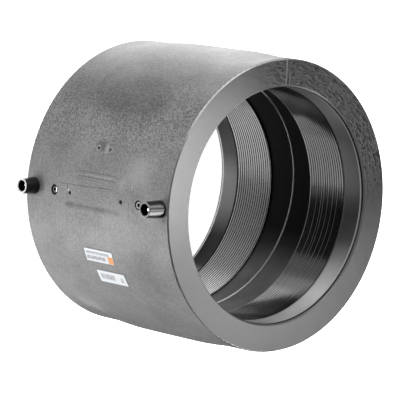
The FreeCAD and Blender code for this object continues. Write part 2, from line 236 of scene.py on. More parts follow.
def place_group() -> bpy.types.NodeTree:
    """Builds the group that turns a position into radius, angle and height.

    The radius is the distance from Z in millimetres, the angle runs from the terminals towards
    the labels in degrees (0 to 360), the height is Z in millimetres, and around is the way from
    the row of terminals along the barrel in millimetres, positive towards the labels.

    Returns:
        The node group.
    """
    tree, g, inside, outside = new_group("Place On Coupler", {},
                                         ("Radius", "Angle", "Height", "Around"))
    split = g.put("ShaderNodeSeparateXYZ", {0: inside.outputs["Position"]})
    x, y, z = (g.math("MULTIPLY", split.outputs[i], 1 / MM) for i in range(3))
    squares = g.math("ADD", g.math("MULTIPLY", x, x), g.math("MULTIPLY", y, y))
    turn = g.math("ARCTAN2", x, g.math("MULTIPLY", y, -1.0))
    degrees = g.math("FLOORED_MODULO", g.math("MULTIPLY", turn, 180 / math.pi), 360.0)
    g.feed(outside.inputs["Around"], g.math("MULTIPLY", turn, SIZES.barrel_radius))
    g.feed(outside.inputs["Radius"], g.math("SQRT", squares))
    g.feed(outside.inputs["Angle"], degrees)
    g.feed(outside.inputs["Height"], z)
    return tree


def grain_group() -> bpy.types.NodeTree:
    """Builds the group for the spark-eroded grain of the mould.

    Returns:
        The node group, with Height for the bumps, Speckle for the fine changes of tone that the
        grain gives, and Blotch for broad ones.
    """
    tree, g, inside, outside = new_group("Mould Grain", {"Fineness": 720.0, "Blotch Size": 22.0},
                                         ("Height", "Speckle", "Blotch"))
    coarse_fineness, coarse_share = 0.45, 0.3  # against the fine grain, and of the whole height
    where = inside.outputs["Position"]
    fine = g.noise(where, 1.0, 2.0)
    g.feed(fine.node.inputs["Scale"], inside.outputs["Fineness"])
    coarse = g.noise(where, 1.0, 3.0)
    g.feed(coarse.node.inputs["Scale"],
           g.math("MULTIPLY", inside.outputs["Fineness"], coarse_fineness))
    blotch = g.noise(where, 1.0, 4.0, 0.6)
    g.feed(blotch.node.inputs["Scale"], inside.outputs["Blotch Size"])
    total = g.math("ADD", g.math("MULTIPLY", fine, 1 - coarse_share),
                   g.math("MULTIPLY", coarse, coarse_share))
    g.feed(outside.inputs["Height"], total)
    g.feed(outside.inputs["Speckle"], g.ramp(total, 0.42, 0.58))
    g.feed(outside.inputs["Blotch"], g.ramp(blotch, 0.3, 0.7))
    return tree


@dataclass(frozen=True)
class Mark:
    """A spot, ring or bar on the unrolled barrel, in millimetres.

    Around and height say where its middle is. A spot or ring has a radius, and a ring a width; a
    bar reaches half_around and half_height to each side. Tilt is how far the bar's middle moves
    around the barrel for each millimetre of height. Tone is below 0 where the mark is darker than
    the barrel and above 0 where it is lighter, and lift is how far it stands out.
    """

    around: float
    height: float
    radius: float = 0.0
    width: float = 0.0
    half_around: float = 0.0
    half_height: float = 0.0
    tilt: float = 0.0
    tone: float = 0.0
    lift: float = 0.0
    soft: float = 0.5

    def mask(self, g: Graph, around: Link, height: Link) -> Any:
        """Adds the nodes that are 1 on the mark and 0 away from it.

        Args:
            g: the graph they go into.
            around: way around the barrel.
            height: height along the axis.

        Returns:
            The mask's socket.
        """
        along = g.math("SUBTRACT", height, self.height)
        middle = g.math("ADD", g.math("MULTIPLY", along, self.tilt), self.around)
        across = g.math("SUBTRACT", around, middle)
        if self.radius:
            squares = g.math("ADD", g.math("MULTIPLY", across, across),
                             g.math("MULTIPLY", along, along))
            far = g.math("SQRT", squares)
            if self.width:
                return self.within(g, g.away(far, self.radius), self.width / 2)
            return self.within(g, far, self.radius)
        return g.math("MULTIPLY", self.within(g, g.math("ABSOLUTE", across), self.half_around),
                      self.within(g, g.math("ABSOLUTE", along), self.half_height))

    def within(self, g: Graph, off: Link, reach: float) -> Any:
        """Adds the node that is 1 within a reach and 0 beyond it, with the mark's soft edge.

        Args:
            g: the graph it goes into.
            off: how far off a point lies.
            reach: how far the mark reaches.

        Returns:
            The resulting socket.
        """
        return g.ramp(off, reach + self.soft / 2, max(0.0, reach - self.soft / 2))


class Finishes:
    """What all materials share: their groups, and the ways to start one."""

    def __init__(self) -> None:
        """Builds the shared groups."""
        self.place = place_group()
        self.grain = grain_group()

    def start(self, name: str, **sockets: Link) -> tuple[Any, Graph, Any, Any]:
        """Starts a material with one glossy or matte shader.

        Args:
            name: the material's name.
            sockets: constants of the shader, with underscores for blanks.

        Returns:
            The material, its graph, its shader node and the socket with object coordinates.
        """
        material = bpy.data.materials.new(name)
        material.use_nodes = True
        material.node_tree.nodes.clear()
        g = Graph(material.node_tree)
        shader = g.put("ShaderNodeBsdfPrincipled")
        for key, value in sockets.items():
            g.feed(shader.inputs[key.replace("_", " ")], value)
        g.put("ShaderNodeOutputMaterial", {"Surface": shader.outputs[0]}, is_active_output=True)
        where = g.put("ShaderNodeTexCoord").outputs["Object"]
        return material, g, shader, where

    def group(self, g: Graph, tree: bpy.types.NodeTree, where: Link, **values: Link) -> Any:
        """Places a shared group in a material.

        Args:
            g: the material's graph.
            tree: the group.
            where: position that the group works with.
            values: its other inputs, with underscores for blanks.

        Returns:
            The outputs of the group.
        """
        node = g.put("ShaderNodeGroup", node_tree=tree)
        g.feed(node.inputs["Position"], where)
        for key, value in values.items():
            g.feed(node.inputs[key.replace("_", " ")], value)
        return node.outputs

    def bump(self, g: Graph, shader: Any, height: Link, strength: float, depth: float) -> None:
        """Feeds a height to the shader as bumps.

        Args:
            g: the material's graph.
            shader: the material's shader.
            height: what stands out, 0 to 1.
            strength: share of the bumps that is seen.
            depth: how far 1 stands out, in metres.
        """
        inputs = {"Height": height, "Strength": strength, "Distance": depth}
        g.feed(shader.inputs["Normal"], g.put("ShaderNodeBump", inputs).outputs[0])


# Marks are drawn in this order, each over the ones before it
BARREL_MARKS = (
    # Painted shade at the shallow panel between the terminals: a dark line over a slight groove
    # along its edge away from the labels, and darker bands along its edge towards them
    Mark(-7.9, -13.0, half_around=0.35, half_height=35.0, tilt=-0.03, tone=-0.6, lift=-0.1,
         soft=0.7),
    Mark(10.2, -2.0, half_around=2.0, half_height=35.5, tone=-0.4, soft=3.4),
    Mark(10.2, -32.0, half_around=2.4, half_height=4.5, tone=-0.5, soft=3.5),
    Mark(10.4, 8.0, half_around=2.0, half_height=6.0, tone=-0.35, soft=3.5),
    # Fine raised lines above the panel, three painted dark as shade and one painted pale as a
    # highlight
    Mark(-19.9, 2.0, half_around=0.3, half_height=24.0, tone=-0.75, lift=0.15, soft=0.6),
    Mark(-15.5, 2.0, half_around=0.3, half_height=24.0, tone=-0.8, lift=0.15, soft=0.6),
    Mark(-13.2, -11.0, half_around=0.3, half_height=11.0, tone=-0.5, lift=0.12, soft=0.6),
    Mark(-17.6, 2.0, half_around=0.3, half_height=22.0, tone=0.3, lift=0.08, soft=0.6),
    # Date marks: pale rings painted on their raised rims as highlights and black centres painted as
    # shade, with a darker and a paler field between them
    Mark(-43.5, -2.4, half_around=4.2, half_height=5.8, tone=-0.5, soft=2.5),
    Mark(-41.6, 5.8, half_around=3.6, half_height=1.8, tone=0.35, soft=1.8),
    Mark(-41.6, -5.0, radius=2.3, width=0.8, tone=0.9, lift=0.1),
    Mark(-41.6, -5.0, radius=1.1, tone=-0.95),
    Mark(-41.6, 9.8, radius=2.3, width=0.8, tone=0.6, lift=0.1),
    Mark(-41.6, 9.8, radius=1.0, tone=-0.9),
    # A pale stroke of painted light over the shade at the panel's rear end; small pits at both ends
    # of the panel, painted black inside as shade, with dark rings beside them and a painted
    # highlight by the rear pit
    Mark(3.0, -35.9, half_around=6.5, half_height=0.5, tone=0.3, soft=0.6),
    Mark(0.1, 35.0, radius=1.9, tone=-1.0),
    Mark(-0.4, 31.8, radius=1.8, width=0.5, tone=-0.4),
    Mark(0.2, -31.6, radius=1.6, tone=-1.0),
    Mark(-2.2, -34.0, radius=1.1, tone=1.0),
    Mark(2.2, -34.2, radius=1.6, width=0.5, tone=-0.45),
    # Strokes behind the front indicator
    Mark(-14.0, 45.4, half_around=3.2, half_height=0.35, tone=-0.35, soft=0.5),
    Mark(-14.0, 46.8, half_around=2.6, half_height=0.6, tone=0.35, soft=0.9),
    Mark(6.2, 44.7, half_around=7.0, half_height=0.3, tone=-0.4, soft=0.5),
    # Paler spot above the front pit
    Mark(-14.0, 34.5, half_around=5.0, half_height=3.5, tone=0.2, soft=5.0),
    # Rims of the indicators' wells: a painted highlight about the front one and painted shade about
    # the rear one
    Mark(0.0, SIZES.front_indicator_height, radius=3.9, width=1.0, tone=0.5, soft=0.8),
    Mark(0.0, SIZES.rear_indicator_height, radius=4.1, width=1.3, tone=-1.0, soft=0.7),
    # Faint field above the labels
    Mark(34.0, 1.0, half_around=6.4, half_height=18.5, tone=0.07, lift=0.06, soft=2.0),
    Mark(27.2, 1.0, half_around=0.35, half_height=18.0, tone=0.15, soft=0.6),
    # Broad clouds of painted shade and painted light, darker and lighter than the barrel
    Mark(-98.0, -20.0, half_around=16.0, half_height=60.0, tone=-0.3, soft=30.0),
    Mark(-82.0, 18.0, half_around=9.0, half_height=26.0, tone=-0.28, soft=22.0),
    Mark(-112.0, 8.0, half_around=7.0, half_height=16.0, tone=-0.3, soft=16.0),
    Mark(-82.0, -16.0, half_around=8.0, half_height=14.0, tone=-0.28, soft=16.0),
    Mark(-88.0, 44.0, half_around=9.0, half_height=9.0, tone=-0.25, soft=18.0),
    Mark(-26.0, 52.0, half_around=12.0, half_height=12.0, tone=0.3, soft=20.0),
    Mark(122.0, -60.0, half_around=9.0, half_height=14.0, tone=0.42, soft=14.0),
    Mark(116.0, 46.0, half_around=14.0, half_height=14.0, tone=-0.32, soft=20.0),
    # Shades about the terminals' feet
    Mark(0.0, -77.0, radius=8.0, tone=-0.45, soft=6.0),
    Mark(4.0, 87.5, half_around=7.0, half_height=2.2, tone=-0.75, soft=3.0),
)


@dataclass(frozen=True)
class ShellFinish:
    """Grained outside of the moulded body, with marks that the mould left and with painted light
    and shade.

    The grain is coarse in a broad band along the barrel and finer away from it. Places are in
    millimetres around the barrel from the row of terminals.
    """

    light: Colour = (0.125, 0.125, 0.126, 1.0)
    dark: Colour = (0.038, 0.038, 0.039, 1.0)
    mark_light: Colour = grey(0.24)
    mark_dark: Colour = grey(0.004)
    grain_depth: float = 0.0005
    coarse_middle: float = -78.0
    coarse_half: float = 10.0  # fully coarse up to here on each side of the middle
    coarse_end: float = 50.0  # fine from here on
    fine_share: float = 0.42  # how strong the fine grain is against the coarse
    blotch_share: float = 0.3
    least_bump: float = 0.4  # how far the grain stands out besides what its tone says
    roughness: float = 0.52
    blotch_roughness: float = 0.46
    mark_skin: float = 1.0  # marks are whole down to this depth under the mouths' outer radius
    mark_end: float = 2.0  # and gone from this depth on
    dull_tone: float = -0.9  # marks that are as dark as this have no shine

    def make(self, finishes: Finishes) -> bpy.types.Material:
        """Builds the material.

        Args:
            finishes: gives the shared groups.

        Returns:
            The material.
        """
        material, g, shader, where = finishes.start("shell_plastic", Specular_IOR_Level=0.5)
        grain = finishes.group(g, finishes.grain, where)
        place = finishes.group(g, finishes.place, where)
        around, height = place["Around"], place["Height"]
        band = g.ramp(g.away(around, self.coarse_middle), self.coarse_end, self.coarse_half,
                      self.fine_share, 1.0)
        speckle = g.math("MULTIPLY", g.math("SUBTRACT", grain["Speckle"], 0.5), band)
        blotch = g.math("MULTIPLY", g.math("SUBTRACT", grain["Blotch"], 0.5), self.blotch_share)
        colour = g.mix(g.math("ADD", g.math("ADD", 0.5, speckle), blotch), self.dark, self.light)
        bumps = g.math("MULTIPLY", grain["Height"], g.math("ADD", self.least_bump, band))
        roughness = g.ramp(grain["Blotch"], 0.0, 1.0, self.roughness, self.blotch_roughness)
        outer = g.ramp(place["Radius"], SIZES.end_radius - self.mark_end,
                       SIZES.end_radius - self.mark_skin)
        # The marks hold what the mould left and also painted light and shade
        for mark in BARREL_MARKS:
            mask = g.math("MULTIPLY", mark.mask(g, around, height), outer)
            if mark.tone:
                amount = g.math("MULTIPLY", mask, abs(mark.tone))
                colour = g.mix(amount, colour, self.mark_light if mark.tone > 0 else self.mark_dark)
            if mark.tone <= self.dull_tone:
                roughness = g.math("MAXIMUM", roughness, mask)
            if mark.lift:
                lift = g.math("MULTIPLY", mask, mark.lift * MM / self.grain_depth)
                bumps = g.math("ADD", bumps, lift)
        g.feed(shader.inputs["Base Color"], colour)
        g.feed(shader.inputs["Roughness"], roughness)
        finishes.bump(g, shader, bumps, 1.0, self.grain_depth)
        return material


@dataclass(frozen=True)
class FaceFinish:
    """Smooth end face with a side darkened by stains and painted shade together, and the knit line
    where the melt met.

    Angles are in degrees from the terminals towards the labels.
    """

    plain: Colour = grey(0.036)
    stain_and_shade: Colour = grey(0.006)
    scratch: Colour = grey(0.09)
    stain_and_shade_middle: float = 236.0
    stain_and_shade_half: float = 32.0  # full strength up to here on each side of the middle
    stain_and_shade_end: float = 70.0  # faded out from here on
    plain_roughness: float = 0.23
    stain_and_shade_roughness: float = 0.12
    stain_and_shade_share: float = 0.4  # how dark that side is between its clouds, with stains and painted shade
    cloud_share: float = 0.55  # how much darker its clouds are
    knit_angle: float = 269.0
    knit_half: float = 0.2
    knit_end: float = 0.8
    knit_faint_radius: float = 116.0  # the knit line is faint from here outwards
    knit_whole_radius: float = 108.0  # and whole from here inwards
    knit_faint: float = 0.35
    scratch_off: float = 1.5  # from the knit line to the pale scratch beside it
    scratch_half: float = 0.15
    scratch_end: float = 0.45
    cloud_scale: tuple[float, float] = (0.12, 0.16)  # for a degree, and a millimetre outwards
    bump_depth: float = 0.0003

    def make(self, finishes: Finishes) -> bpy.types.Material:
        """Builds the material.

        Args:
            finishes: gives the shared groups.

        Returns:
            The material.
        """
        material, g, shader, where = finishes.start("face_plastic", Specular_IOR_Level=0.5)
        grain = finishes.group(g, finishes.grain, where, Fineness=500.0, Blotch_Size=60.0)
        place = finishes.group(g, finishes.place, where)
        angle, radius = place["Angle"], place["Radius"]
        drawn_out = g.vector(g.math("MULTIPLY", angle, self.cloud_scale[0]),
                             g.math("MULTIPLY", radius, self.cloud_scale[1]), 0.0)
        cloud = g.ramp(g.noise(drawn_out, 2.6, 5.0, 0.7), 0.4, 0.6)
        # One side is darkened by stains and painted shade together
        side = g.ramp(g.away(angle, self.stain_and_shade_middle), self.stain_and_shade_end, self.stain_and_shade_half)
        stained_and_shaded = g.math("MULTIPLY_ADD", cloud, self.cloud_share, self.stain_and_shade_share)
        stained_and_shaded = g.math("MULTIPLY", side, stained_and_shaded)
        knit = g.ramp(g.away(angle, self.knit_angle), self.knit_end, self.knit_half)
        knit = g.math("MULTIPLY", knit, g.ramp(
            radius, self.knit_faint_radius, self.knit_whole_radius, self.knit_faint, 1.0))
        amount = g.math("ADD", stained_and_shaded, g.math("MULTIPLY", knit, 0.95), clamp=True)
        colour = g.mix(g.math("MULTIPLY", grain["Blotch"], 0.18), self.plain, self.stain_and_shade)
        colour = g.mix(amount, colour, self.stain_and_shade)
        scratch = g.ramp(g.away(angle, self.knit_angle + self.scratch_off),
                         self.scratch_end, self.scratch_half)
        g.feed(shader.inputs["Base Color"], g.mix(scratch, colour, self.scratch))
        g.feed(shader.inputs["Roughness"],
               g.ramp(side, 0.0, 1.0, self.plain_roughness, self.stain_and_shade_roughness))
        height = g.math("ADD", g.math("MULTIPLY", grain["Height"], 0.3),
                        g.math("MULTIPLY", knit, -0.5))
        height = g.math("ADD", height, g.math("MULTIPLY", g.math("MULTIPLY", cloud, side), 0.4))
        finishes.bump(g, shader, height, 0.6, self.bump_depth)
        return material


@dataclass(frozen=True)
class SmoothFinish:
    """Smooth black plastic of the edges, the entries and the middle, drawn over by the core.

    Where the plastic's tone changes about the axis, light and shade are painted into it: painted
    highlights, painted reflections and painted shade, given at a few angles, in degrees from the
    terminals towards the labels, and running evenly between them. Where highlight_tone is given,
    there is a painted highlight behind the bevels of a mouth, and a line of painted shade where the
    winding begins. Each of the two lies between two distances, in millimetres, from the edge of its
    zone. Drawn is the depth in metres of the fine lines that the core left.
    """

    name: str
    tones: tuple[tuple[float, float], ...]
    roughness: float
    specular: float = 0.5
    highlight_tone: float = 0.0
    highlight_span: tuple[float, float] = (2.0, 1.3)
    shade_span: tuple[float, float] = (2.4, 1.5)
    shade_tone: float = 0.003
    blotch_share: float = 0.3
    drawn: float = 0.00004
    drawn_scale: tuple[float, float] = (0.02, 0.9)  # for a degree, and a millimetre of height

    def make(self, finishes: Finishes) -> bpy.types.Material:
        """Builds the material.

        Args:
            finishes: gives the shared groups.

        Returns:
            The material.
        """
        material, g, shader, where = finishes.start(
            self.name, Specular_IOR_Level=self.specular, Roughness=self.roughness)
        grain = finishes.group(g, finishes.grain, where)
        place = finishes.group(g, finishes.place, where)
        # Light and shade painted into the tone about the axis, where it changes
        tone = self.light_and_shade_by_angle(g, place["Angle"])
        colour = g.mix(g.math("MULTIPLY", grain["Blotch"], self.blotch_share), tone, grey(0.0))
        if self.highlight_tone:
            height = g.math("ABSOLUTE", place["Height"])
            # A painted highlight behind the bevels of the mouth
            pale = g.ramp(height, *(SIZES.entry_outer_end - off for off in self.highlight_span))
            colour = g.mix(pale, colour, grey(self.highlight_tone))
            # A line of painted shade where the winding begins
            dark = g.ramp(height, *(SIZES.band_outer_end + off for off in self.shade_span))
            colour = g.mix(dark, colour, grey(self.shade_tone))
        g.feed(shader.inputs["Base Color"], colour)
        rings = g.vector(g.math("MULTIPLY", place["Angle"], self.drawn_scale[0]), 0.0,
                         g.math("MULTIPLY", place["Height"], self.drawn_scale[1]))
        finishes.bump(g, shader, g.noise(rings, 1.0, 3.0, 0.6), 0.5, self.drawn)
        return material

    def light_and_shade_by_angle(self, g: Graph, angle: Link) -> Any:
        """Adds the run of tones about the axis, which paints in light and shade.

        Args:
            g: the material's graph.
            angle: angle about the axis in degrees.

        Returns:
            The socket with the tone.
        """
        node = g.put("ShaderNodeValToRGB", {0: g.math("DIVIDE", angle, 360.0)})
        stops = node.color_ramp.elements
        for number, (degrees, tone) in enumerate(self.tones):
            stop = stops[number] if number < 2 else stops.new(degrees / 360.0)
            stop.position, stop.color = degrees / 360.0, grey(tone)
        if len(self.tones) == 1:
            stops[1].color = stops[0].color
        return node.outputs[0]


@dataclass(frozen=True)
class TurnsFinish:
    """Glossy jacket of the turns, with painted highlights at the given heights in millimetres.

    The edges of a winding carry full painted highlights, and the lines between its turns fainter
    ones.
    """

    name: str
    roughness: float
    edges: tuple[float, ...]
    lines: tuple[float, ...] = ()
    line_share: float = 0.42
    highlight_half: float = 0.25  # painted highlight whole up to here on each side of a height
    highlight_end: float = 0.45  # no painted highlight from here on
    plain: Colour = grey(0.003)
    highlight_colour: Colour = grey(0.12)
    highlight_roughness: float = 0.35

    def make(self, finishes: Finishes) -> bpy.types.Material:
        """Builds the material.

        Args:
            finishes: gives the shared groups.

        Returns:
            The material.
        """
        material, g, shader, where = finishes.start(self.name, Specular_IOR_Level=0.95)
        height = finishes.group(g, finishes.place, where)["Height"]
        # Painted highlights: whole at a winding's edges, fainter on the lines between its turns
        shares = dict.fromkeys(self.edges, 1.0) | dict.fromkeys(self.lines, self.line_share)
        highlight_amount: Link = 0.0
        for middle, share in shares.items():
            line = g.ramp(g.away(height, middle), self.highlight_end, self.highlight_half, 0.0, share)
            highlight_amount = g.math("MAXIMUM", highlight_amount, line)
        g.feed(shader.inputs["Base Color"], g.mix(highlight_amount, self.plain, self.highlight_colour))
        g.feed(shader.inputs["Roughness"],
               g.ramp(highlight_amount, 0.0, 1.0, self.roughness, self.highlight_roughness))
        return material


@dataclass(frozen=True)
class PlainFinish:
    """A finish that is the same all over."""

    name: str
    colour: Colour
    roughness: float
    metallic: float = 0.0
    specular: float = 0.5

    def make(self, finishes: Finishes) -> bpy.types.Material:
        """Builds the material.

        Args:
            finishes: gives the way to start it.

        Returns:
            The material.
        """
        return finishes.start(self.name, Base_Color=self.colour, Roughness=self.roughness,
                              Metallic=self.metallic, Specular_IOR_Level=self.specular)[0]


def paint(node: str, material: bpy.types.Material) -> None:
    """Gives a solid's mesh one material.

    Args:
        node: the solid's name.
        material: what it is made of.
    """
    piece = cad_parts[node]
    piece.data.materials.clear()
    piece.data.materials.append(material)
    log.info("%s: %s", node, material.name)


def triangle_middles(node: str) -> np.ndarray:
    """Works out the middle of each triangle of a solid's mesh.

    Args:
        node: the solid's name.

    Returns:
        One row per triangle, in millimetres.
    """
    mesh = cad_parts[node].data
    spots = np.empty(len(mesh.vertices) * 3, np.float32)
    mesh.vertices.foreach_get("co", spots)
    corners = np.empty(len(mesh.loops), np.int32)
    mesh.loops.foreach_get("vertex_index", corners)
    return spots.reshape(-1, 3)[corners.reshape(-1, 3)].mean(axis=1) / MM


def paint_zones(node: str, zones: np.ndarray, materials: Sequence[bpy.types.Material]) -> None:
    """Gives each triangle of a solid the material of its zone.

    Args:
        node: the solid's name.
        zones: each triangle's place in the list of materials.
        materials: one per zone.
    """
    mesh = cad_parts[node].data
    mesh.materials.clear()
    for material in materials:
        mesh.materials.append(material)
    mesh.polygons.foreach_set("material_index", zones.astype(np.int32))
    mesh.update()
    counts = np.bincount(zones, minlength=len(materials))
    told = (f"{material.name} {count}" for material, count in zip(materials, counts))
    log.info("%s: %s", node, ", ".join(told))


BODY_FINISHES: dict[Zone, ShellFinish | FaceFinish | SmoothFinish] = {
    Zone.OUTSIDE: ShellFinish(),
    Zone.END_FACE: FaceFinish(),
    # Rounded edge: its tones by angle are a painted highlight along the edge
    Zone.EDGE: SmoothFinish(
        "edge_plastic",
        ((0.0, 0.07), (100.0, 0.07), (280.0, 0.1), (305.0, 0.4), (326.0, 0.4), (340.0, 0.1),
         (359.0, 0.07)),
        roughness=0.3),
    Zone.MOUTH: SmoothFinish("mouth_plastic", ((0.0, 0.006),), roughness=0.3, specular=0.25),
    # Entries and middle: their tones by angle are painted light, shade and reflections; each entry
    # also has a painted highlight behind its bevels and painted shade where its winding begins
    Zone.FRONT_ENTRY: SmoothFinish(
        "front_entry_plastic",
        ((0.0, 0.1), (90.0, 0.2), (128.0, 0.42), (142.0, 0.3), (160.0, 0.07), (178.0, 0.035),
         (198.0, 0.05), (212.0, 0.08), (226.0, 0.17), (240.0, 0.14), (262.0, 0.1)),
        roughness=0.3, specular=0.4, highlight_tone=0.3),
    Zone.REAR_ENTRY: SmoothFinish(
        "rear_entry_plastic",
        ((0.0, 0.2), (90.0, 0.16), (122.0, 0.18), (131.0, 0.003), (150.0, 0.006), (166.0, 0.09),
         (182.0, 0.12), (194.0, 0.03), (212.0, 0.012), (222.0, 0.2)),
        roughness=0.4, specular=0.06, highlight_tone=0.3),
    Zone.MIDDLE: SmoothFinish(
        "middle_plastic",
        ((0.0, 0.003), (70.0, 0.06), (90.0, 0.1), (134.0, 0.13), (142.0, 0.08), (152.0, 0.02),
         (160.0, 0.004), (235.0, 0.003)),
        roughness=0.7, specular=0.03),
    Zone.HOLLOW: SmoothFinish("hollow_plastic", ((0.0, 0.004),), roughness=0.5, specular=0.2),
}


@dataclass(frozen=True)
class Body:
    """The moulded sleeve, finished zone by zone. Its lengths are in millimetres."""

    node: str = "coupler_body"
    edge_depth: float = 0.85  # how far the rounded edge's finish reaches behind the end face
    face_skin: float = 0.02  # a triangle that lies nearer to the end face is part of it
    lip_low: float = 91.2  # heights between which the bevel at the mouth is finished as an edge
    lip_high: float = 92.45
    wall_skin: float = 1.0  # how far behind a wall a well or channel begins
    overlap: float = 0.1  # how far a zone reaches past a stated size, to take its edge in
    well_end: float = 90.0  # height that wells and channels stay under

    def dress(self, finishes: Finishes) -> None:
        """Tells each triangle's zone by its radius and height, and gives it that zone's finish.

        Args:
            finishes: gives the shared groups.
        """
        middles = triangle_middles(self.node)
        radius, height = np.hypot(middles[:, 0], middles[:, 1]), np.abs(middles[:, 2])
        front = middles[:, 2] > 0
        bore = radius < SIZES.mouth_bevel_radius
        entry = bore & (height > SIZES.band_outer_end) & (height < SIZES.entry_outer_end)
        middle_wall = SIZES.centre_radius + self.wall_skin
        inside_wall = (radius > middle_wall) & (radius < SIZES.end_radius - self.wall_skin)
        lip = (height > self.lip_low) & (height < self.lip_high)
        lip &= radius < SIZES.mouth_bevel_radius + self.overlap
        # Each rule takes triangles from the ones before it
        rules = (
            (Zone.EDGE, height > SIZES.half_length - self.edge_depth),
            (Zone.END_FACE, height > SIZES.half_length - self.face_skin),
            (Zone.MOUTH, bore & (height > SIZES.entry_outer_end)),
            (Zone.EDGE, lip),
            (Zone.FRONT_ENTRY, entry & front),
            (Zone.REAR_ENTRY, entry & ~front),
            (Zone.MIDDLE, (radius < middle_wall) & (height < SIZES.band_inner_end + self.overlap)),
            (Zone.HOLLOW, inside_wall & (height < self.well_end)),
        )
        order = list(BODY_FINISHES)
        zones = np.full(len(radius), order.index(Zone.OUTSIDE))
        for zone, triangles in rules:
            zones[triangles] = order.index(zone)
        paint_zones(self.node, zones, [finish.make(finishes) for finish in BODY_FINISHES.values()])


class WirePart(IntEnum):
    """Parts of the wire that are finished differently."""

    FRONT_TURNS = 0
    LINK = 1
    REAR_TURNS = 2


@dataclass(frozen=True)
class Winding:
    """The jacketed wire: glossy turns in both sockets and a dull link between them."""

    node: str = "heating_wire"
    skin: float = 0.05  # how far from a winding's end the link begins
    # The turns carry painted highlights at these heights
    front: TurnsFinish = TurnsFinish(
        "wire_turns", 0.14, edges=(25.75,), lines=(33.9, 39.7, 42.5, 48.1, 53.9, 59.4))
    link: PlainFinish = PlainFinish("wire_link", grey(0.32), 0.4)
    rear: TurnsFinish = TurnsFinish("wire_turns_rear", 0.24, edges=(-25.75, -67.85))

    def dress(self, finishes: Finishes) -> None:
        """Tells the turns and the link by their height, and finishes each.

        Args:
            finishes: gives the shared groups.
        """
        height = triangle_middles(self.node)[:, 2]
        end = SIZES.band_inner_end - self.skin
        parts = np.where(np.abs(height) < end, int(WirePart.LINK), int(WirePart.FRONT_TURNS))
        parts[height < -end] = WirePart.REAR_TURNS
        in_order = (self.front, self.link, self.rear)
        paint_zones(self.node, parts, [finish.make(finishes) for finish in in_order])


class ShroudPart(IntEnum):
    """Parts of a shroud that are finished differently."""

    OUTSIDE = 0
    LIP = 1
    HOLLOW = 2


@dataclass(frozen=True)
class Terminal:
    """A welding terminal: a glossy shroud with a black hollow, a lip painted paler as a highlight,
    and a tinned pin.

    Height is where its middle line stands along the coupler's axis, and mouth is how far out its
    mouth lies along Y. Lengths are in millimetres.
    """

    end: str
    height: float
    mouth: float
    lip_highlight_tone: float
    lip_depth: float = 0.45
    hollow_radius: float = 4.95
    outside: PlainFinish = PlainFinish("shroud_plastic", grey(0.003), 0.3, specular=0.45)
    hollow: PlainFinish = PlainFinish("shroud_hollow", grey(0.002), 0.4, specular=0.1)
    pin: PlainFinish = PlainFinish("tinned_pin", (0.75, 0.74, 0.72, 1.0), 0.2, metallic=1.0)

    def dress(self, finishes: Finishes) -> None:
        """Tells lip, hollow and outside by their way from the mouth and the middle line.

        Args:
            finishes: gives the way to start each material.
        """
        node = f"terminal_shroud_{self.end}"
        middles = triangle_middles(node)
        off = np.hypot(middles[:, 0], middles[:, 2] - self.height)
        parts = np.full(len(off), int(ShroudPart.OUTSIDE))
        parts[middles[:, 1] < self.mouth + self.lip_depth] = ShroudPart.LIP
        parts[off < self.hollow_radius] = ShroudPart.HOLLOW
        # The lip's paler tone is a painted highlight
        lip = PlainFinish("shroud_lip", grey(self.lip_highlight_tone), 0.35)
        in_order = (self.outside, lip, self.hollow)
        paint_zones(node, parts, [finish.make(finishes) for finish in in_order])
        paint(f"terminal_pin_{self.end}", self.pin.make(finishes))


@dataclass(frozen=True)
class Indicator:
    """A fusion indicator: a plastic pin with a dimple in its head; light and shade are painted on
    the head, with painted shade in the dimple and a painted glint on the rear one's rim.

    Height is where its middle stands along the coupler's axis, in millimetres.
    """

    end: str
    height: float
    head: Colour
    glints: bool = False
    dimple: Colour = grey(0.002)
    glint: Colour = grey(0.9)

    def dress(self, finishes: Finishes) -> None:
        """Builds the material and gives it to the pin.

        Args:
            finishes: gives the shared groups.
        """
        material, g, shader, where = finishes.start(f"indicator_{self.end}", Roughness=0.35)
        place = finishes.group(g, finishes.place, where)
        around, height = place["Around"], place["Height"]
        # The dimple is painted black as shade
        dimple = Mark(0.0, self.height, radius=2.1, soft=0.5)
        colour = g.mix(dimple.mask(g, around, height), self.head, self.dimple)
        # A painted glint on the rim of the rear pin
        if self.glints:
            beam = Mark(-0.2, self.height + 2.0, half_around=1.9, half_height=0.6, soft=0.8)
            colour = g.mix(beam.mask(g, around, height), colour, self.glint)
        g.feed(shader.inputs["Base Color"], colour)
        paint(f"fusion_indicator_{self.end}", material)


